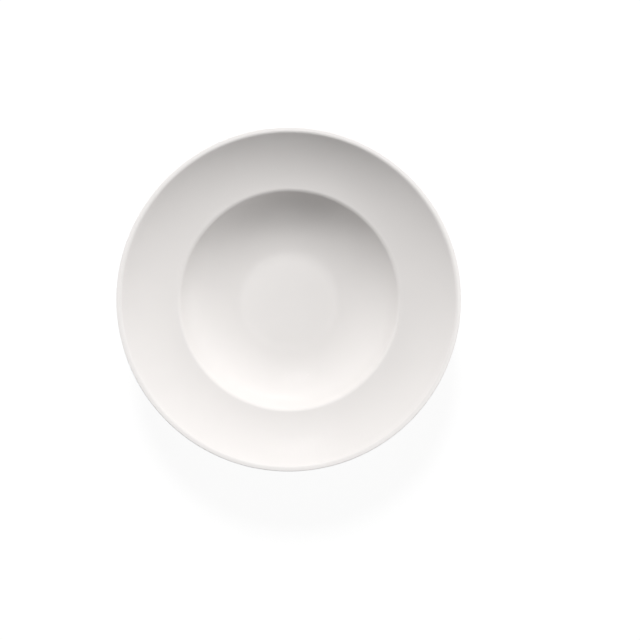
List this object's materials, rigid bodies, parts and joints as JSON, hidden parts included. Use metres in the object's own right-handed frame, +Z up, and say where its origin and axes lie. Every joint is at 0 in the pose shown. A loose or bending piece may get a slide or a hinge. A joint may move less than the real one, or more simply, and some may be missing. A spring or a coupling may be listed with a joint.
{
  "type": "pasta bowl",
  "caption": "Round porcelain bowl with a wide dished rim, a deep curved well and a low foot ring, glazed all over except its standing edge.",
  "frame": {"origin": "centre of the foot ring, on the plane that the bowl stands on", "axes": "+Z up along the axis of the bowl; X and Y are alike, because the bowl is round"},
  "size_m": [0.3, 0.3, 0.06],
  "materials": {
    "biscuit": "unglazed fired porcelain, ground smooth and matte",
    "white_glaze": "glossy warm white glaze",
    "recess_glaze": "glossy warm white glaze, a little thinner and duller than the coat"
  },
  "bodies": {
    "root": {"porcelain_body": "biscuit", "glaze_coat": "white_glaze", "foot_recess_glaze": "recess_glaze"}
  },
  "joints": []
}
